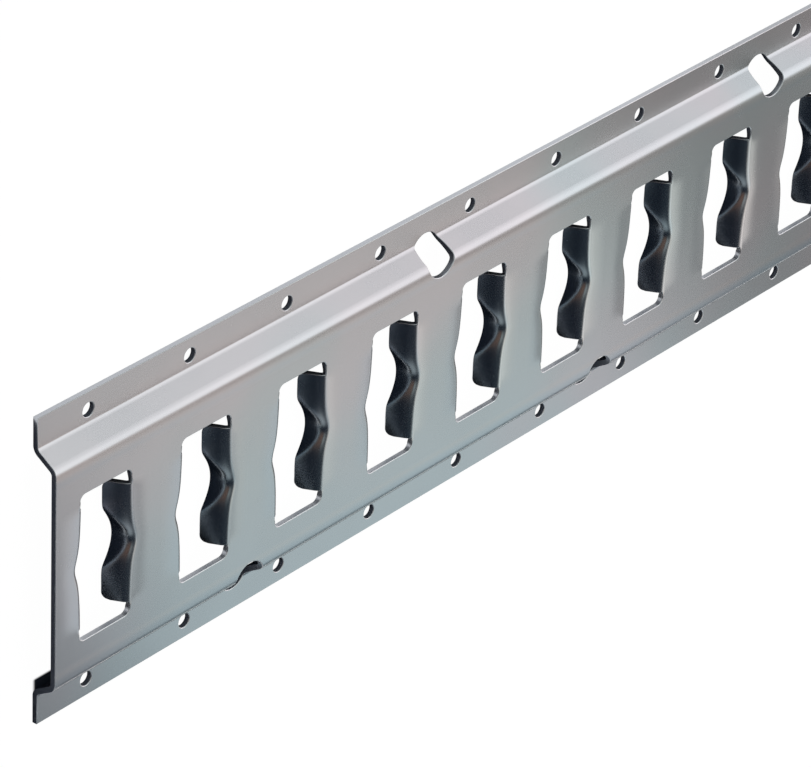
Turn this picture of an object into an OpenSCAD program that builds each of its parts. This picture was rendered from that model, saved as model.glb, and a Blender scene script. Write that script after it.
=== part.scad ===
// Horizontal cargo rail, pressed and folded from one zinc-plated steel sheet.
// The rail lies on the backs of its two flanges with its face up.
// X runs along the rail, Y across it and Z up from the floor.

/* [Rail] */
// Number of slots along the rail (twelve make the two foot length)
slot_count = 12; // [8:4:12]
// Distance from one slot to the next along the rail
pitch = 50.8; // [50:0.1:52]
// Distance from each cut end to the middle of the nearest slot
end_gap = 24.7; // [24:0.1:25.4]
// Width of the rail over both flanges
rail_w = 124; // [122:1:130]
// Height of the face above the wall side of the flanges
depth = 10.8; // [10.6:0.1:11.6]
// Thickness of the steel sheet
sheet = 2.2; // [2:0.1:2.4]

/* [Folds] */
// Flange width from the rail's edge to the corner line of the fold
flange_w = 13; // [12:0.1:14]
// Slope of the side walls between the face and the flanges, in degrees
wall_slope = 58; // [54:1:64]
// Inside radius of the four long folds
fold_r = 2; // [1.5:0.1:2.5]

/* [Slots] */
// Length of a slot across the rail
slot_l = 59.4; // [58:0.2:60]
// Width of the square cut ends of a slot
slot_w = 25.2; // [24:0.2:26]
// Radius of the slot's corners
slot_r = 2; // [1:0.5:3]

/* [Lips] */
// Half the distance between the lines where the two lips start to bend
lip_x = 14.3; // [14:0.1:14.8]
// Length of each lip across the rail
lip_l = 49; // [47:0.5:51]
// Outer radius of the bend between the face and a lip
lip_r = 3.5; // [3.4:0.1:4]
// Angle each lip is bent down from the face, in degrees
lip_angle = 60; // [58:1:64]
// Gap between a lip's free edge and the wall behind the rail
lip_gap = 2; // [1:0.5:3]
// Radius of the lip's two free corners
lip_corner = 3; // [2:0.5:4]

/* [Pockets] */
// How far the bend line swings out at the round pocket
wave_h = 2.1; // [1.8:0.1:2.4]
// Half the length of that swing
wave_l = 9; // [8.5:0.5:11]
// How far the pocket is pressed out behind the straight free edge
pocket_h = 4.9; // [4.4:0.1:5]
// Lean of the pocket's wall from upright, in degrees
pocket_lean = 9; // [7:1:11]
// Half angle of the cone that presses the pocket, in degrees
pocket_angle = 45; // [42:1:48]
// Height of that cone's tip above the lip's free edge
pocket_tip = 12.4; // [12:0.1:13]

/* [Holes] */
// Diameter of the screw holes in the flanges
screw_d = 5.6; // [5:0.1:6.5]
// Distance from the rail's edge to the middle of a screw hole
screw_edge = 7.1; // [6:0.1:7.5]
// Diameter of the round holes punched through the side walls
wall_hole_d = 14.8; // [13:0.2:16]
// Distance from the rail's edge to the middle of such a hole
wall_hole_edge = 16.3; // [15.5:0.1:17]

/* [Hidden] */
$fn = 64;

rail_l = (slot_count - 1) * pitch + 2 * end_gap;
face_z = depth - sheet;
half_w = rail_w / 2;

// Middle line of the sheet, from which the folded section is laid out
fold_mid = fold_r + sheet / 2;
fold_out = fold_r + sheet;
setback = fold_mid * tan(wall_slope / 2);
wall_run = face_z / tan(wall_slope);
flange_y = half_w - flange_w;
face_y = flange_y - wall_run;

// Arc of the bend line at the pocket, carried on until it is clear of the straight
wave_r = (wave_l * wave_l + wave_h * wave_h) / (2 * wave_h);
wave_past_angle = 16;
wave_a = asin(wave_l / wave_r) + wave_past_angle;
// The lip stands a little more upright along that arc
wave_angle = lip_angle + 1;

// Flat steps that draw each long fold and the two sides of a lip's bend
fold_steps = 8;
outer_steps = 6;
inner_steps = 3;

// Reach of a cutter past a surface, and towards the slot's middle
over = 1;
reach = 13;

// Lip section: u is measured from the bend line, positive away from the slot
bend_z = depth - lip_r;
inner_r = lip_r - sheet;
function leg_u(r, z, angle) = -r * sin(angle)
    - (bend_z + r * cos(angle) - z) / tan(angle);
free_z = lip_gap;
edge_x = lip_x + leg_u(lip_r, free_z, lip_angle);

// Cone of the pocket: place of its tip, tilt of its axis and length to its base
tip_x = edge_x + pocket_h + pocket_tip * tan(pocket_lean);
tip_z = free_z + pocket_tip;
cone_tilt = pocket_angle + pocket_lean;
cone_l = 14;

// Every fourth gap between slots has a wall hole, and the two rows take turns
hole_slot_count = 4;
wall_hole_step = hole_slot_count * pitch;
row_hole_count = slot_count / hole_slot_count;

// Positions of n things evenly spaced about the rail's middle
function spread(n, step) = [for (i = [0:n - 1]) (i - (n - 1) / 2) * step];

// Points of an arc about a centre, from angle a to angle b
function arc(centre, r, a, b, steps = fold_steps) =
    [for (i = [0:steps])
        let (t = a + (b - a) * i / steps)
        centre + r * [cos(t), sin(t)]];

// Half of the folded section, from the face round the edge to the back
half_points = let (
    high = [face_y - setback, depth - fold_out],
    low = [flange_y + setback, fold_out])
    concat(
        arc(high, fold_out, 90, 90 - wall_slope),
        arc(low, fold_r, 270 - wall_slope, 270),
        [[half_w, sheet], [half_w, 0]],
        arc(low, fold_out, 270, 270 - wall_slope),
        arc(high, fold_r, 90 - wall_slope, 90));
last_point = len(half_points) - 1;

// The folded sheet before its slots and holes
module folded_sheet() {
    other_half = [for (i = [last_point:-1:0])
        [-half_points[i].x, half_points[i].y]];
    rotate([90, 0, 90])
        linear_extrude(rail_l, center = true)
            polygon(concat(half_points, other_half));
}

// Area on the slot's side of a lip surface that is bent at radius r.
// The last flat step of the arc runs on, so that it crosses the sheet's surface.
module lip_side_2d(r, angle, steps, top, bottom) {
    step = angle / steps;
    polygon(concat(
        [[-reach, top], [-reach, bottom], [leg_u(r, bottom, angle), bottom]],
        arc([0, bend_z], r, 90 + angle, 90 + step, steps - 1),
        [[over, bend_z + r + over * tan(step / 2)], [over, top]]));
}

// Space on the slot's side of a lip surface, from z = bottom to top.
// One piece runs along the straight bend line and one round the arc.
module lip_side(r, steps, top, bottom) {
    translate([lip_x, lip_l / 2, 0])
        rotate([90, 0, 0])
            linear_extrude(lip_l)
                lip_side_2d(r, lip_angle, steps, top, bottom);
    translate([lip_x + wave_h - wave_r, 0, 0])
        rotate([0, 0, -wave_a])
            rotate_extrude(angle = 2 * wave_a)
                translate([wave_r, 0])
                    lip_side_2d(r, wave_angle, steps - 1, top, bottom);
}

// Round pocket as a cone that points up behind the lip, grown by an extra thickness.
// It is cut off short of the slot's middle, where the pocket opposite begins.
module pocket(extra) {
    intersection() {
        translate([tip_x, 0, tip_z])
            rotate([0, cone_tilt, 0])
                translate([0, 0, extra / sin(pocket_angle) - cone_l])
                    cylinder(h = cone_l, r1 = cone_l * tan(pocket_angle), r2 = 0);
        translate([over, -cone_l, -2 * over])
            cube([2 * cone_l, 2 * cone_l, depth + 4 * over]);
    }
}

// Outline of a lip seen from the slot, with its rounded free corners
module lip_outline() {
    half_l = lip_l / 2;
    top = face_z + sheet / 2;
    translate([edge_x / 2, 0, 0])
        rotate([90, 0, 90])
            linear_extrude(lip_x + wave_h) {
                translate([-half_l, free_z + lip_corner])
                    square([lip_l, top - free_z - lip_corner]);
                translate([-half_l + lip_corner, free_z])
                    square([lip_l - 2 * lip_corner, top - free_z]);
                for (s = [-1, 1])
                    translate([s * (half_l - lip_corner), free_z + lip_corner])
                        circle(lip_corner);
            }
}

// One lip before the space between the lips is cleared out of it
module lip_blank() {
    intersection() {
        union() {
            lip_side(inner_r, inner_steps, depth, 0);
            pocket(sheet);
        }
        lip_outline();
    }
}

// Space on the slot's side of one lip, flared at the face by the bend
module lip_clear() {
    lip_side(lip_r, outer_steps, depth + over, -over);
    pocket(0);
}

// Flat cut opening that frees the two ends of both lips
module slot_opening() {
    flat_l = slot_l - 2 * slot_r;
    flat_w = slot_w - 2 * slot_r;
    linear_extrude(depth + over) {
        square([slot_w, flat_l], center = true);
        square([flat_w, slot_l], center = true);
        for (x = [-1, 1], y = [-1, 1])
            translate([x * flat_w / 2, y * flat_l / 2])
                circle(slot_r);
    }
}

// The same thing on both sides of every slot
module both_sides() {
    for (x = spread(slot_count, pitch), side = [0, 1])
        translate([x, 0, 0])
            mirror([side, 0, 0])
                children();
}

// Plain round holes for screws, one pair at each slot
module screw_holes() {
    for (x = spread(slot_count, pitch), y = spread(2, rail_w - 2 * screw_edge))
        translate([x, y, -over])
            cylinder(h = sheet + 2 * over, d = screw_d);
}

// Round holes punched through the side walls, in two staggered rows
module wall_holes() {
    hole_y = half_w - wall_hole_edge;
    for (x = spread(row_hole_count - 1, wall_hole_step))
        translate([x, hole_y, -over])
            cylinder(h = depth + 2 * over, d = wall_hole_d);
    for (x = spread(row_hole_count, wall_hole_step))
        translate([x, -hole_y, -over])
            cylinder(h = depth + 2 * over, d = wall_hole_d);
}

module rail() {
    color("silver")
        difference() {
            union() {
                difference() {
                    folded_sheet();
                    for (x = spread(slot_count, pitch))
                        translate([x, 0, 0])
                            slot_opening();
                }
                both_sides()
                    lip_blank();
            }
            both_sides()
                lip_clear();
            screw_holes();
            wall_holes();
        }
}

rail();
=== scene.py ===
"""Looks of the slotted cargo rail: pressed sheet, zinc finish, camera, studio light and white floor."""
import math

import bpy
from mathutils import Matrix, Vector
from mathutils.geometry import delaunay_2d_cdt


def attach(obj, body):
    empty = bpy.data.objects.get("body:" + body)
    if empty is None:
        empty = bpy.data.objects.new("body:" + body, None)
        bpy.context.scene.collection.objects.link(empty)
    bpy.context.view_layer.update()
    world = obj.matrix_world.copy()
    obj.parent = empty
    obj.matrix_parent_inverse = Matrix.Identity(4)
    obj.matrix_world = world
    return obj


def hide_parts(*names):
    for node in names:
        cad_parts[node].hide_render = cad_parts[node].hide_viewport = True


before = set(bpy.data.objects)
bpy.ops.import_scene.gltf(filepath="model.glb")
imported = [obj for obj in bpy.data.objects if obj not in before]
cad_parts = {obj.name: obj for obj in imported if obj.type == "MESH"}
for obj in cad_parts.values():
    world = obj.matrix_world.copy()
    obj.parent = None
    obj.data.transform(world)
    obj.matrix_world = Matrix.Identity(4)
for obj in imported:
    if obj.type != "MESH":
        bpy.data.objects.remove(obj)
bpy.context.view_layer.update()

# Sizes of the rail in millimetres, as in the part's source
MM = 0.001
PITCH, SLOT_COUNT = 50.8, 12
SLOT_X = [(i - (SLOT_COUNT - 1) / 2) * PITCH for i in range(SLOT_COUNT)]
HALF_L, HALF_W = 304.1, 62.0
DEPTH, SHEET = 10.8, 2.2
FACE_Z = DEPTH - SHEET

# Folds: slope of the walls, radii, and the lines across the rail where the bends begin
SLOPE = math.radians(58)
FOLD_R = 2.0
FOLD_OUT = FOLD_R + SHEET
FLANGE_W = 13.0
FLANGE_Y = HALF_W - FLANGE_W
SETBACK = (FOLD_R + SHEET / 2) * math.tan(SLOPE / 2)
LOW_Y = FLANGE_Y + SETBACK
HIGH_Y = FLANGE_Y - FACE_Z / math.tan(SLOPE) - SETBACK

# Holes in the flanges and walls, as distance from the middle line and radius
SCREW_Y, SCREW_R, SCREW_SIDES = 54.9, 2.8, 32
SCREWS = [(x, y) for x in SLOT_X for y in (-SCREW_Y, SCREW_Y)]
WALL_Y, WALL_R, WALL_SIDES = 45.7, 7.4, 64
WALL_HOLES = [(i * 2 * PITCH, WALL_Y) for i in (-1, 1)] + [(i * 4 * PITCH, -WALL_Y) for i in (-1, 0, 1)]

# Slots, and the strip beside each slot that carries its lip
SLOT_HALF_W, SLOT_HALF_L, SLOT_R = 12.6, 29.7, 2.5
CORNER_Y = SLOT_HALF_L - SLOT_R
STRIP_X = 23.0

# Lips: the two ends, the bend, the straight free edge and its rounded corners
LIP_TOP, LIP_LOW = 23.6, -25.0
LIP_R, LIP_CORNER = 3.5, 3.0
FREE_X, FREE_Z = 7.15, 2.0
BEND_Z = DEPTH - LIP_R
BEND_X, BEND_SWING, BEND_SPREAD = 13.72, 2.7, 6.5
STUB_X = SLOT_HALF_W + 0.3

# Round pocket in each lip: a leaning cone with its tip above the free edge
POCKET_H, POCKET_TIP = 4.9, 12.4
POCKET_LEAN, POCKET_HALF = math.radians(9), math.radians(47)

# Slopes of the soft sag of the face, in its normals, beside the folds and the lips
FOLD_SAG, FOLD_SWELL, LIP_SAG = 0.10, 0.03, 0.15

# Radii of the rounded front and back edges where the sheet is sawn, at a lip and where it is punched
SAWN_ROUND, LIP_ROUND, PUNCHED_ROUND = (0.3, 0.15), (0.24, 0.14), (0.36, 0.14)

# Columns of a strip: flat face, bend down to the punched edge, rest of the bend, flat lip
FACE_COLUMNS, ARC_COLUMNS, BEND_COLUMNS, LEG_COLUMNS = 4, 4, 4, 8
COLUMNS = FACE_COLUMNS + ARC_COLUMNS + BEND_COLUMNS + LEG_COLUMNS + 1


def smooth(value, low, high):
    """Smooth step from 0 at low to 1 at high."""
    t = min(max((value - low) / (high - low), 0.0), 1.0)
    return t * t * (3 - 2 * t)


def soft_max(a, b, width=0.9):
    """The larger of two values, blended over a width where they are close, and the second one's share."""
    root = math.sqrt((a - b) ** 2 + width * width)
    return (a + b + root) / 2, (1 + (b - a) / root) / 2


# Folded section: both surfaces as heights over the plan

def height(y, high_r, low_r, face_z, flange_z):
    """Height and slope of one surface of the folded sheet at a distance from the rail's middle line."""
    y = abs(y)
    if y <= HIGH_Y:
        return face_z, 0.0
    if y >= LOW_Y:
        return flange_z, 0.0
    wall_start = HIGH_Y + high_r * math.sin(SLOPE)
    wall_end = LOW_Y - low_r * math.sin(SLOPE)
    if y < wall_start:
        rise = math.sqrt(high_r ** 2 - (y - HIGH_Y) ** 2)
        return face_z - high_r + rise, -(y - HIGH_Y) / rise
    if y > wall_end:
        rise = math.sqrt(low_r ** 2 - (LOW_Y - y) ** 2)
        return flange_z + low_r - rise, -(LOW_Y - y) / rise
    top = face_z - high_r + high_r * math.cos(SLOPE)
    return top - (y - wall_start) * math.tan(SLOPE), -math.tan(SLOPE)


def face_sag(y):
    """Extra slope of the face's normals, where it sags before the fold after a slight swell."""
    reach = abs(y) - HIGH_Y
    dip = smooth(reach, -2.4, 0.0) * (1 - smooth(reach, 0.0, 1.2))
    swell = smooth(reach, -5.4, -3.6) * (1 - smooth(reach, -3.4, -2.0))
    return FOLD_SAG * dip - FOLD_SWELL * swell


def sheet_point(x, y):
    """Front point, back point, front normal and back normal of the folded sheet at one place in plan."""
    side = 1 if y > 0 else -1
    front_z, front_slope = height(y, FOLD_OUT, FOLD_R, DEPTH, SHEET)
    back_z, back_slope = height(y, FOLD_R, FOLD_OUT, FACE_Z, 0.0)
    up = Vector((0, -side * (front_slope - face_sag(y)), 1)).normalized()
    down = Vector((0, side * back_slope, -1)).normalized()
    return Vector((x, y, front_z)), Vector((x, y, back_z)), up, down


def fold_rows():
    """Distances across the rail at which the plan is divided, so that the folds come out round."""
    rows = {round(HIGH_Y - step, 2) for step in (5.6, 4.5, 3.5, 2.7, 2.0, 1.3, 0.6)}
    for centre, turn in ((HIGH_Y, 1), (LOW_Y, -1)):
        for radius, steps in ((FOLD_OUT, 10), (FOLD_R, 6)):
            for k in range(steps + 1):
                rows.add(round(centre + turn * radius * math.sin(SLOPE * k / steps), 2))
    kept = []
    for y in sorted(rows):
        if not kept or y - kept[-1] > 0.06:
            kept.append(y)
    return kept


# Lips: one structured strip each side of a slot

def strip_rows():
    """Places along a slot's side, dense at the round pocket and at the lip's two rounded corners."""
    rows = [-CORNER_Y, -26.6, -25.8, CORNER_Y, 26.3, 25.4, 24.5]
    for end, inward in ((LIP_TOP, -1), (LIP_LOW, 1)):
        for angle in (0, 30, 45, 60, 75, 90):
            rows.append(end + inward * LIP_CORNER * (1 - math.cos(math.radians(angle))))
    rows += [-20, -18, -16, -14.5, -13.2, 19, 17.5, 16, 14.5, 13.2]
    rows += range(-12, 13)
    return sorted(round(y, 2) for y in rows)


def bend_line(y):
    """Distance from the slot's middle at which the lip starts to bend; it swings out at the pocket."""
    line = BEND_X + BEND_SWING / (1 + (y / BEND_SPREAD) ** 2)
    end = LIP_TOP if y > 0 else LIP_LOW
    past = smooth(abs(y), abs(end), CORNER_Y)
    return STUB_X + (line - STUB_X) * (1 - past)


def lip_angle(y):
    """Bend of the lip at which its free edge comes out straight, found by halving."""
    low, high = math.radians(35), math.radians(80)
    for _ in range(30):
        mid = (low + high) / 2
        reach = -LIP_R * math.sin(mid) - (BEND_Z + LIP_R * math.cos(mid) - FREE_Z) / math.tan(mid)
        if bend_line(y) + reach < FREE_X:
            low = mid
        else:
            high = mid
    return low


def pocket_x(y, z, extra):
    """Distance from the slot's middle of the pocket's cone at one height, grown by an extra thickness."""
    tilt = POCKET_LEAN + POCKET_HALF
    move = extra / math.sin(POCKET_HALF)
    tip_x = FREE_X + POCKET_H + POCKET_TIP * math.tan(POCKET_LEAN) + move * math.sin(tilt)
    down = z - (FREE_Z + POCKET_TIP + move * math.cos(tilt))
    wide = math.cos(POCKET_HALF) ** 2
    a = math.sin(tilt) ** 2 - wide
    b = 2 * math.sin(tilt) * math.cos(tilt) * down
    c = (math.cos(tilt) ** 2 - wide) * down * down - wide * y * y
    return tip_x + (-b - math.sqrt(b * b - 4 * a * c)) / (2 * a)


def flat_pair(y, column):
    """Front and back point of a strip where it is still flat."""
    line = bend_line(y)
    if column < FACE_COLUMNS:
        x = STRIP_X + (line - STRIP_X) * column / FACE_COLUMNS
    else:
        x = line + (SLOT_HALF_W - line) * (column - FACE_COLUMNS) / ARC_COLUMNS
    return Vector((round(x, 2), y, DEPTH)), Vector((round(x, 2), y, FACE_Z))


def lip_turn(y, step, on_lip):
    """How far the sheet has turned at one step past the bend line, and how far down the flat lip it is."""
    end = LIP_TOP if y > 0 else LIP_LOW
    cut = math.asin((bend_line(end if on_lip else y) - SLOT_HALF_W) / LIP_R)
    full = lip_angle(y)
    if step <= ARC_COLUMNS:
        return cut * step / ARC_COLUMNS, 0.0
    if step <= ARC_COLUMNS + BEND_COLUMNS:
        return cut + (full - cut) * (step - ARC_COLUMNS) / BEND_COLUMNS, 0.0
    return full, (step - ARC_COLUMNS - BEND_COLUMNS) / LEG_COLUMNS


def bent_pair(y, step, on_lip):
    """Front and back point of a strip past its bend line, pressed out at the pocket."""
    turn, leg = lip_turn(y, step, on_lip)
    x = bend_line(y) - LIP_R * math.sin(turn)
    z = BEND_Z + LIP_R * math.cos(turn)
    if leg:
        end = LIP_TOP if y > 0 else LIP_LOW
        inset = max(LIP_CORNER - abs(y - end), 0.0)
        low = FREE_Z + LIP_CORNER - math.sqrt(max(LIP_CORNER ** 2 - inset ** 2, 0.0))
        drop = (z - low) * leg
        x -= drop / math.tan(turn)
        z -= drop
    pressed = smooth(turn, 0.0, math.radians(24)) if on_lip else 0.0
    moved, share = soft_max(x, pocket_x(y, z, 0.0))
    lean = turn + (math.radians(90) - POCKET_LEAN - turn) * share * pressed
    back_x = x + SHEET * math.sin(turn)
    back_z = z - SHEET * math.cos(lean)
    slide = (back_z - z + SHEET * math.cos(turn)) / max(math.tan(turn), 0.3) if leg else 0.0
    back_moved, _ = soft_max(back_x + slide, pocket_x(y, back_z, SHEET))
    front = Vector((x + (moved - x) * pressed, y, z))
    back = Vector((back_x + (back_moved - back_x) * pressed, y, back_z))
    return front, back


def strip_pair(y, column):
    """Front and back point of a slot's side at one row and column; None beyond the cut edge."""
    on_lip = LIP_LOW - 0.001 <= y <= LIP_TOP + 0.001
    step = column - FACE_COLUMNS
    if step > ARC_COLUMNS and not on_lip:
        return None
    if step < 0 or abs(abs(y) - CORNER_Y) < 0.001:
        return flat_pair(y, column)
    return bent_pair(y, step, on_lip)


# The whole sheet

class Sheet:
    """Front and back points of the pressed sheet with the faces between them."""

    def __init__(self):
        self.front, self.back = [], []
        self.normals = []
        self.faces = []
        self.known = {}

    def add(self, front, back, normals=None, shared=False):
        """Number of a pair of points; a shared pair is found again at the same place in plan."""
        key = (round(front.x * 100), round(front.y * 100))
        if shared and key in self.known:
            return self.known[key]
        self.front.append(front)
        self.back.append(back)
        self.normals.append(normals)
        if shared:
            self.known[key] = len(self.front) - 1
        return len(self.front) - 1


def circle(centre, radius, sides):
    """Corners of a round hole in plan."""
    angles = [2 * math.pi * k / sides for k in range(sides)]
    return [(centre[0] + radius * math.cos(a), centre[1] + radius * math.sin(a)) for a in angles]


def slot_loop(centre):
    """Plan outline that a slot and its two side strips take out of the face."""
    ends = [strip_pair(CORNER_Y, c)[0].x for c in range(1, FACE_COLUMNS + ARC_COLUMNS + 1)]
    angles = [math.radians(k * 15) for k in range(1, 7)]
    corner = [(SLOT_HALF_W - SLOT_R + SLOT_R * math.cos(a), CORNER_Y + SLOT_R * math.sin(a)) for a in angles]
    upper_right = [(x, CORNER_Y) for x in ends] + corner
    upper = upper_right + [(-x, y) for x, y in reversed(upper_right)]
    rows = strip_rows()
    loop = [(STRIP_X, y) for y in rows] + upper + [(-STRIP_X, y) for y in reversed(rows)]
    loop += [(x, -y) for x, y in reversed(upper)]
    return [(round(centre + x, 2), round(y, 2)) for x, y in loop]


def plan_lines():
    """Points and edges that divide the plan: the outline, the openings and the rows along the folds."""
    loops = [[(-HALF_L, -HALF_W), (HALF_L, -HALF_W), (HALF_L, HALF_W), (-HALF_L, HALF_W)]]
    loops += [slot_loop(x) for x in SLOT_X]
    loops += [circle(c, SCREW_R, SCREW_SIDES) for c in SCREWS]
    loops += [circle(c, WALL_R, WALL_SIDES) for c in WALL_HOLES]
    points, edges = [], []
    for loop in loops:
        start = len(points)
        points += loop
        edges += [(start + i, start + (i + 1) % len(loop)) for i in range(len(loop))]
    for row in fold_rows():
        for y in (-row, row):
            points += [(-HALF_L, y), (HALF_L, y)]
            edges.append((len(points) - 2, len(points) - 1))
    return points, edges


def in_slot(x, y):
    """Whether a place in plan lies in a slot or in one of its side strips."""
    for centre in SLOT_X:
        dx = abs(x - centre)
        if dx < STRIP_X and abs(y) < CORNER_Y:
            return True
        if dx < SLOT_HALF_W and abs(y) < SLOT_HALF_L:
            cx, cy = dx - (SLOT_HALF_W - SLOT_R), abs(y) - CORNER_Y
            if cx <= 0 or cy <= 0 or math.hypot(cx, cy) < SLOT_R * 0.99:
                return True
    return False


def in_hole(x, y, holes, radius, sides):
    """Whether a place in plan lies in one of the many-sided holes."""
    half_side = math.pi / sides
    for cx, cy in holes:
        away = math.hypot(x - cx, y - cy)
        if away < radius:
            turn = math.atan2(y - cy, x - cx) % (2 * half_side) - half_side
            if away * math.cos(turn) < radius * math.cos(half_side):
                return True
    return False


def is_open(x, y):
    """Whether a place in plan is left out of the folded sheet."""
    return (in_slot(x, y) or in_hole(x, y, SCREWS, SCREW_R, SCREW_SIDES)
            or in_hole(x, y, WALL_HOLES, WALL_R, WALL_SIDES))


def plan_part(sheet):
    """Everything but the slots' side strips, cut from the plan by the outlines of its openings."""
    points, edges = plan_lines()
    verts, _, faces, _, _, _ = delaunay_2d_cdt([Vector(p) for p in points], edges, [], 0, 1e-5)
    index = {}
    for face in faces:
        middle = sum((verts[i] for i in face), Vector((0, 0))) / 3
        if is_open(*middle):
            continue
        for i in face:
            if i not in index:
                front, back, up, down = sheet_point(*verts[i])
                index[i] = sheet.add(front, back, (up, down), shared=abs(verts[i].y) < CORNER_Y + 0.01)
        sheet.faces.append(tuple(index[i] for i in face))


def strip_normals(y, column, side, edge):
    """Given normals of a strip's flat part, leaning towards the lip; None where the faces decide."""
    up, down = Vector((0, 0, 1)), Vector((0, 0, -1))
    if edge:
        return up, down
    if column > FACE_COLUMNS:
        return None
    lean = LIP_SAG * side * (column / FACE_COLUMNS) ** 1.6 * (1 - smooth(abs(y), 20.0, 26.0))
    return Vector((-lean, 0, 1)).normalized(), down


def strip_part(sheet, rows, pattern, centre, side):
    """One side strip with its lip, placed at one side of one slot."""
    grid = []
    for j, line in enumerate(pattern):
        made = []
        for c, pair in enumerate(line):
            if pair is None:
                made.append(None)
                continue
            front, back = [Vector((centre + side * p.x, p.y, p.z)) for p in pair]
            edge = c == 0 or j in (0, len(pattern) - 1)
            made.append(sheet.add(front, back, strip_normals(rows[j], c, side, edge), shared=edge))
        grid.append(made)
    for j in range(len(rows) - 1):
        for c in range(COLUMNS - 1):
            quad = (grid[j][c], grid[j + 1][c], grid[j + 1][c + 1], grid[j][c + 1])
            if None not in quad:
                sheet.faces.append(quad if side > 0 else quad[::-1])


def vertex_normals(points, faces, given, back):
    """Normals summed from the faces around each point, where none is given."""
    sums = [Vector((0, 0, 0)) for _ in points]
    for face in faces:
        corners = [points[i] for i in face]
        if len(face) == 4:
            normal = (corners[2] - corners[0]).cross(corners[3] - corners[1])
        else:
            normal = (corners[1] - corners[0]).cross(corners[2] - corners[0])
        if normal.length < 1e-12:
            continue
        normal.normalize()
        for i in face:
            if given[i] is None:
                sums[i] += normal
    return [(-total if back else total).normalized() if pair is None else pair[1 if back else 0]
            for total, pair in zip(sums, given)]


def cut_edges(faces):
    """For each point on a cut edge, the next and the previous point along it."""
    used = dict.fromkeys((i, face[(k + 1) % len(face)]) for face in faces for k, i in enumerate(face))
    after = {i: j for i, j in used if (j, i) not in used}
    return after, {j: i for i, j in after.items()}


def edge_end(points, links, start):
    """Next point of a cut edge that lies far enough off to give the edge's direction."""
    i = links[start]
    while (points[i] - points[start]).length < 0.15 and i != start:
        i = links[i]
    return points[i]


def edge_round(place):
    """Radii of the front and back rounding of a cut edge."""
    if abs(place.x) > HALF_L - 0.01:
        return SAWN_ROUND
    if place.z < DEPTH - 0.3 and abs(place.y) < CORNER_Y:
        return LIP_ROUND
    return PUNCHED_ROUND


def edge_ring(front, back, ways, front_n, back_n):
    """Front and back corner drawn in from a cut edge, and the ring of places that rounds it."""
    out_a, out_b = [way.cross(front_n).normalized() for way in ways]
    out = (out_a + out_b).normalized()
    out /= max(out.dot(out_a), 0.5)
    through = (back - front).normalized()
    wall = (out - through * out.dot(through)).normalized()
    r_front, r_back = edge_round(front)
    ring = []
    for k in (1, 2, 3):
        a = math.radians(30 * k)
        place = front - out * r_front * (1 - math.sin(a)) + through * r_front * (1 - math.cos(a))
        ring.append((place, front_n * math.cos(a) + wall * math.sin(a), k / 3))
    for k in (2, 1):
        a = math.radians(45 * k)
        place = back - out * r_back * (1 - math.sin(a)) - through * r_back * (1 - math.cos(a))
        ring.append((place, back_n * math.cos(a) + wall * math.sin(a), k / 2))
    return front - out * r_front, back - out * r_back, ring


def pressed_sheet():
    """The folded and pressed sheet before its cut edges are rounded."""
    sheet = Sheet()
    plan_part(sheet)
    rows = strip_rows()
    pattern = [[strip_pair(y, c) for c in range(COLUMNS)] for y in rows]
    for centre in SLOT_X:
        for side in (1, -1):
            strip_part(sheet, rows, pattern, centre, side)
    return sheet


def closed_sheet(sheet):
    """Points, normals, share of cut edge and faces of the closed sheet with rounded edges."""
    front_n = vertex_normals(sheet.front, sheet.faces, sheet.normals, False)
    back_n = vertex_normals(sheet.back, sheet.faces, sheet.normals, True)
    count = len(sheet.front)
    points = sheet.front + sheet.back
    normals = front_n + back_n
    cut = [0.0] * len(points)
    faces = sheet.faces + [tuple(i + count for i in reversed(face)) for face in sheet.faces]
    after, before = cut_edges(sheet.faces)
    first = {}
    for i in after:
        here = sheet.front[i]
        ahead = (edge_end(sheet.front, after, i) - here).normalized()
        behind = (here - edge_end(sheet.front, before, i)).normalized()
        made = edge_ring(here, sheet.back[i], (ahead, behind), front_n[i], back_n[i])
        points[i], points[i + count], ring = made
        first[i] = len(points)
        for place, normal, share in ring:
            points.append(place)
            normals.append(normal.normalized())
            cut.append(share)
    for i, j in after.items():
        a = [i, *range(first[i], first[i] + 5), i + count]
        b = [j, *range(first[j], first[j] + 5), j + count]
        faces += [(b[k], a[k], a[k + 1], b[k + 1]) for k in range(6)]
    return points, normals, cut, faces


def rail_mesh():
    """The rail's mesh in metres, with its own normals and the share of cut edge as an attribute."""
    points, normals, cut, faces = closed_sheet(pressed_sheet())
    mesh = bpy.data.meshes.new("pressed_sheet")
    mesh.from_pydata([p * MM for p in points], [], faces)
    mesh.attributes.new("cut", "FLOAT", "POINT").data.foreach_set("value", cut)
    mesh.polygons.foreach_set("use_smooth", [True] * len(mesh.polygons))
    mesh.update()
    mesh.normals_split_custom_set_from_vertices(normals)
    return mesh


# Shader maths

class Sock:
    """A shader socket that takes part in Python expressions."""

    def __init__(self, mat, socket):
        self.mat = mat
        self.socket = socket

    def maths(self, operation, a, b):
        return self.mat.node("Math", {"operation": operation}, {0: a, 1: b})[0]

    def __add__(self, other):
        return self.maths("ADD", self, other)

    def __radd__(self, other):
        return self.maths("ADD", other, self)

    def __sub__(self, other):
        return self.maths("SUBTRACT", self, other)

    def __rsub__(self, other):
        return self.maths("SUBTRACT", other, self)

    def __mul__(self, other):
        return self.maths("MULTIPLY", self, other)

    def __rmul__(self, other):
        return self.maths("MULTIPLY", other, self)

    def __neg__(self):
        return self.maths("MULTIPLY", self, -1.0)

    def __pow__(self, other):
        return self.maths("POWER", self, other)

    def __abs__(self):
        return self.maths("ABSOLUTE", self, 0.0)

    def above(self, other):
        return self.maths("MAXIMUM", self, other)


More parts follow.
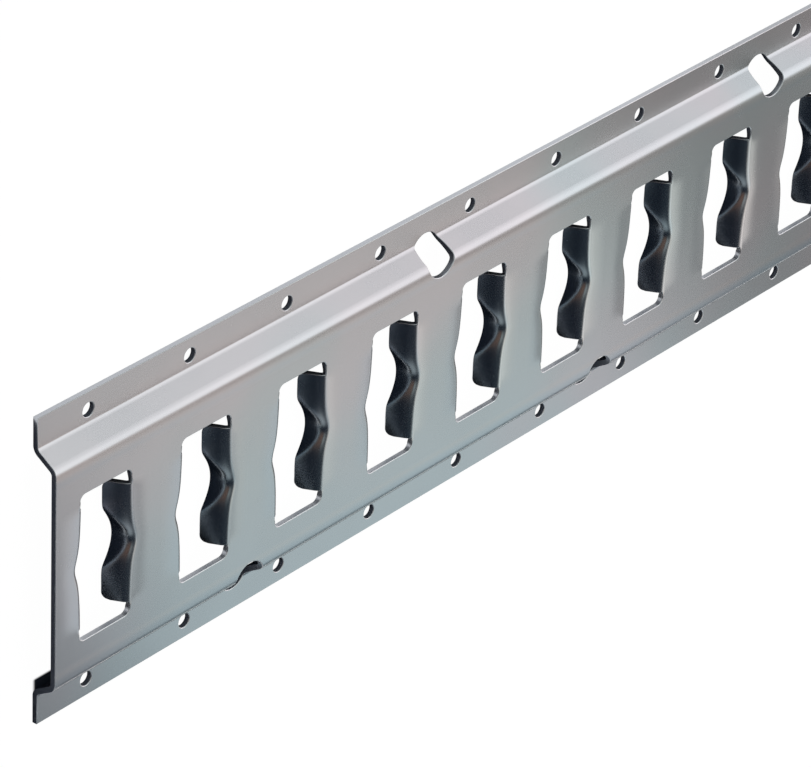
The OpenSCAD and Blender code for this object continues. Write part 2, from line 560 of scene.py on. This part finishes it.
class Shader:
    """Builds one node tree: any node from its type, its settings and its sockets."""

    def __init__(self, owner):
        owner.use_nodes = True
        self.tree = owner.node_tree
        self.tree.nodes.clear()

    def node(self, kind, settings=None, inputs=None):
        """Output sockets of a new node, once its settings and then its sockets are set."""
        made = self.tree.nodes.new("ShaderNode" + kind)
        for key, value in (settings or {}).items():
            setattr(made, key, value)
        for key, value in (inputs or {}).items():
            if isinstance(value, Sock):
                self.tree.links.new(value.socket, made.inputs[key])
            else:
                made.inputs[key].default_value = value
        return [Sock(self, s) for s in made.outputs]

    def mix(self, factor, a, b):
        """Colour between a at factor 0 and b at factor 1."""
        return self.node("Mix", {"data_type": "RGBA"}, {0: factor, 6: a, 7: b})[2]

    def step(self, value, low, high):
        """Smooth step of a value from 0 at low to 1 at high."""
        settings = {"interpolation_type": "SMOOTHSTEP"}
        return self.node("MapRange", settings, {0: value, 1: low, 2: high, 3: 0.0, 4: 1.0})[0]

    def band(self, value, start, full, fade, end):
        """1 between full and fade, going to 0 at start and at end."""
        return self.step(value, start, full) * (1.0 - self.step(value, fade, end))

    def noise(self, place, scale, detail, rough):
        inputs = {"Vector": place, "Scale": scale, "Detail": detail, "Roughness": rough}
        return self.node("TexNoise", None, inputs)[0]


def rgb(r, g, b):
    """Colour as a socket takes it."""
    return (r, g, b, 1.0)


def zinc_plate():
    """Bright zinc plating on rolled sheet, with painted shade that darkens the lips, and bare steel at the
    cut edges.
    """
    mat = bpy.data.materials.new("zinc_plate")
    sh = Shader(mat)
    place = sh.node("TexCoord")[3]
    _, y, z = sh.node("SeparateXYZ", None, {0: place})
    cut = sh.node("Attribute", {"attribute_name": "cut"})[2]
    cloud = sh.noise(place, 26.0, 4.0, 0.55)
    tint = sh.noise(place, 8.0, 2.0, 0.5)
    fine = sh.noise(place, 900.0, 2.0, 0.6)
    # Tone mottles at random between cool and warm; the shift towards warm at +y and cool at -y is a painted
    # tint of the light.
    zinc = sh.mix(sh.step(tint + y * 1.3, 0.40, 0.62), rgb(0.565, 0.635, 0.64), rgb(0.65, 0.63, 0.64))
    zinc = sh.mix(sh.step(cloud, 0.35, 0.75) * 0.16, zinc, rgb(0.46, 0.52, 0.54))
    # Painted shade in the recesses: the zinc is darker in the lips, below the face and within the slots'
    # length.
    lip = (1.0 - sh.step(z, 0.0070, 0.0098)) * (1.0 - sh.step(abs(y), 0.0255, 0.0275))
    zinc = sh.mix(lip * 0.75, zinc, rgb(0.22, 0.26, 0.31))
    bare = sh.step(cut, 0.7, 1.0)
    rim = sh.step(cut, 0.1, 0.4) * (1.0 - bare)
    color = sh.mix(rim, sh.mix(bare, zinc, rgb(0.56, 0.58, 0.62)), rgb(0.90, 0.91, 0.92))
    relief = {"Strength": 0.015, "Distance": 0.0002, "Height": fine + cloud * 0.6}
    surface = {
        "Base Color": color,
        "Metallic": 1.0 - bare * 0.18 - rim * 0.25,
        "Roughness": 0.21 + cloud * 0.07 + fine * 0.04 + bare * 0.10 + rim * 0.15,
        "Normal": sh.node("Bump", None, relief)[0],
    }
    sh.node("OutputMaterial", None, {0: sh.node("BsdfPrincipled", None, surface)[0]})
    return mat


def pressed_rail():
    """The rail as one piece in place of the plain solid."""
    mesh = rail_mesh()
    mesh.materials.append(zinc_plate())
    rail = bpy.data.objects.new("pressed_rail", mesh)
    bpy.context.collection.objects.link(rail)
    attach(rail, "root")
    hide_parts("rail")


# Studio

def studio_room():
    """Room that is bright to the right and overhead, and dark to the left and low in front."""
    world = bpy.data.worlds.new("studio")
    bpy.context.scene.world = world
    sh = Shader(world)
    way = sh.node("TexCoord")[0]
    x, y, z = sh.node("SeparateXYZ", None, {0: way})
    corner_way = Vector((-0.90, 0.10, 0.43)).normalized()
    corner = sh.node("VectorMath", {"operation": "DOT_PRODUCT"}, {0: way, 1: corner_way})[1]
    front = 1.0 - sh.step(y, -0.30, -0.10)

    # Parts of the room that stay dark, and how bright the rest is
    shade = (1.0 - sh.step(x, -0.05, 0.20)) * sh.step(y, -0.85, -0.68) * front
    shade = shade.above(sh.step(corner, 0.88, 0.96))
    around = (0.38 - front * sh.step(x, 0.10, 0.30) * 0.19) * (1.0 - shade) * sh.step(z, -0.05, 0.12)
    overhead = sh.step(x, 0.0, 0.36) * sh.step(z, 0.62, 0.84) * (1.0 - sh.step(y, -0.35, -0.05)) * 0.60
    side = sh.step(x, 0.70, 0.86) * sh.step(y, -0.70, -0.54) * 0.20
    window = sh.step(x, 0.12, 0.52) * sh.step(y, -0.28, 0.0) * sh.step(z, 0.02, 0.22)
    window = window * (1.0 - 0.28 * sh.step(y, 0.3, 0.66)) * 0.82

    # Tone of the light, cooler and warmer by direction, and of the dark with its brown corner
    low = sh.mix(sh.step(y, -0.56, -0.42), rgb(0.90, 1.0, 1.06), rgb(1.10, 0.98, 0.90))
    high = sh.mix(sh.step(x, 0.61, 0.74), rgb(0.95, 1.02, 1.02), rgb(1.07, 0.98, 1.02))
    tone = sh.mix(sh.step(y, -0.3, -0.05), low, high)
    dark = sh.mix(sh.step(corner, 0.93, 0.99), rgb(0.009, 0.016, 0.028), rgb(0.18, 0.105, 0.08))

    room = sh.node("Background", None, {0: tone, 1: around + overhead + side + window})[0]
    glow = sh.node("Background", None, {0: dark, 1: 1.0})[0]
    both = sh.node("AddShader", None, {0: glow, 1: room})[0]
    sh.node("OutputWorld", None, {0: both})


def strip_light(name, low, high, color, level):
    """Long soft lamp beside the rail, seen in its face; low and high are its edges across the lamp."""
    data = bpy.data.lights.new(name, "AREA")
    data.shape = "RECTANGLE"
    data.size, data.size_y = 0.43, high - low
    data.energy = level * math.pi * data.size * data.size_y
    data.color = color
    lamp = bpy.data.objects.new(name, data)
    bpy.context.collection.objects.link(lamp)
    back = Vector((0.0, -0.68, 0.73)).normalized()
    along = Vector((1.0, 0.0, 0.0))
    across = back.cross(along)
    turn = Matrix((along, across, back)).transposed().to_4x4()
    place = Vector((0.257, -0.30, 0.33)) + across * (low + high) / 2
    lamp.matrix_world = Matrix.Translation(place) @ turn
    lamp.visible_camera = False


def painted_floor_shadow(sh, x, y):
    """Painted shadow on the floor, dark to the eye: under the lower fold's cut end and below the lower wall
    holes.
    """
    end_x = HALF_L * MM
    across = sh.band(y, -0.0515, -0.0505, -0.0452, -0.0440)
    shade = across * sh.band(x, -end_x - 0.0003, -end_x + 0.0015, -0.294, -0.290)
    for hole_x, hole_y in WALL_HOLES:
        if hole_y < 0:
            away = (x - hole_x * MM - 0.004) ** 2.0 + (y + 0.0495) ** 2.0
            shade = shade.above(1.0 - sh.step(away, 0.00001, 0.00007))
    return shade


def clear_floor(sh, x, y):
    """Where the floor is bright in the metal too: clear of the rail and of the painted shadow beyond its
    ends and its lower side, and in a painted band of light along the rail's lower part.
    """
    edge_x, edge_y = HALF_L * MM, HALF_W * MM
    clear = sh.step(y, edge_y - 0.001, edge_y + 0.0002)
    clear = clear.above(sh.step(-y, edge_y + 0.012, edge_y + 0.05))
    clear = clear.above(sh.step(x, edge_x, edge_x + 0.04))
    clear = clear.above(sh.step(-x, edge_x + 0.06, edge_x + 0.25))
    # Painted light: a band on the floor under the rail that the metal sees as bright.
    band = sh.band(y, -0.0305, -0.0295, -0.021, -0.018) * sh.step(x, -0.294, -0.286)
    return clear.above(band)


def white_floor():
    """White floor that keeps a faint shadow under the rail, and carries painted shadow: dark paint under and
    beside the rail, seen in the metal and in its bounce light, and dark spots seen by the eye.
    """
    mesh = bpy.data.meshes.new("floor")
    half = 6.0
    corners = [(-half, -half, 0), (half, -half, 0), (half, half, 0), (-half, half, 0)]
    mesh.from_pydata(corners, [], [(0, 1, 2, 3)])
    floor = bpy.data.objects.new("floor", mesh)
    bpy.context.collection.objects.link(floor)
    mat = bpy.data.materials.new("floor_white")
    sh = Shader(mat)
    x, y, _ = sh.node("SeparateXYZ", None, {0: sh.node("TexCoord")[3]})
    path = sh.node("LightPath")
    camera_ray, glossy_ray, transmission_ray = path[0], path[3], path[6]
    clear = clear_floor(sh, x, y)
    by_eye = camera_ray * (1.0 - painted_floor_shadow(sh, x, y))
    # Painted shadow: the paint is dark where the floor is neither clear nor seen by the eye.
    color = sh.mix(clear.above(by_eye), rgb(0.05, 0.06, 0.085), rgb(0.8, 0.8, 0.8))
    paint = sh.node("BsdfDiffuse", None, {"Color": color})[0]
    white = sh.node("Emission", None, {"Color": rgb(1, 1, 1), "Strength": 1.04})[0]
    seen = by_eye.above(glossy_ray.above(transmission_ray) * clear)
    both = sh.node("MixShader", None, {0: seen * 0.95, 1: paint, 2: white})[0]
    sh.node("OutputMaterial", None, {0: both})
    mesh.materials.append(mat)


def camera():
    """Camera at the photograph's place: long lens, from the cut end and above."""
    data = bpy.data.cameras.new("camera")
    cam = bpy.data.objects.new("camera", data)
    bpy.context.collection.objects.link(cam)
    data.sensor_width = 36.0
    data.lens = 210.44
    data.clip_start, data.clip_end = 0.05, 50.0
    place = Vector((-1.283908, 0.882283, 0.944289))
    back = Vector((-0.6716941, 0.5086662, 0.5385961)).normalized()
    right = Vector((0.6443253, 0.0423235, 0.7635795))
    right = (right - right.dot(back) * back).normalized()
    turn = Matrix((right, back.cross(right), back)).transposed().to_4x4()
    cam.matrix_world = Matrix.Translation(place) @ turn
    bpy.context.scene.camera = cam


pressed_rail()
studio_room()
strip_light("strip_light_cool", -0.19, -0.01, (0.90, 1.0, 1.07), 0.45)
strip_light("strip_light_warm", -0.01, 0.12, (1.07, 1.0, 0.93), 0.44)
white_floor()
camera()
bpy.context.scene.view_settings.view_transform = "Standard"
